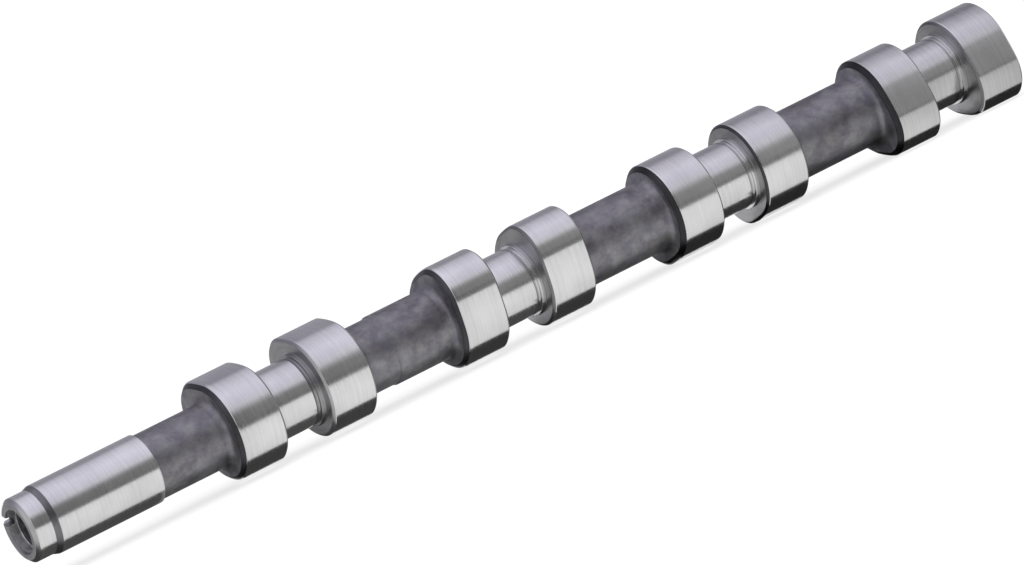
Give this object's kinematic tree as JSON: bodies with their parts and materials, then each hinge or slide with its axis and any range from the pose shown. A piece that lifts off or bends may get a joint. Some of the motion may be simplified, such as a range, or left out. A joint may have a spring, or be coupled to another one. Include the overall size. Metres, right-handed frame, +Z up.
{
  "type": "camshaft",
  "caption": "Cast iron camshaft with pairs of lobes along its length, a bearing journal inside each pair, and a long front journal ending in a bored spigot.",
  "frame": {"origin": "middle of the front journal, on the shaft's axis", "axes": "+X along the shaft from its bored nose end to its rear end, +Z up as it lies on its last two pairs of lobes"},
  "size_m": [0.3921, 0.0368, 0.0368],
  "materials": {
    "cast_iron": "as cast between the lobes, ground bright on the lobes and journals"
  },
  "bodies": {
    "root": {"camshaft": "cast_iron"}
  },
  "joints": []
}
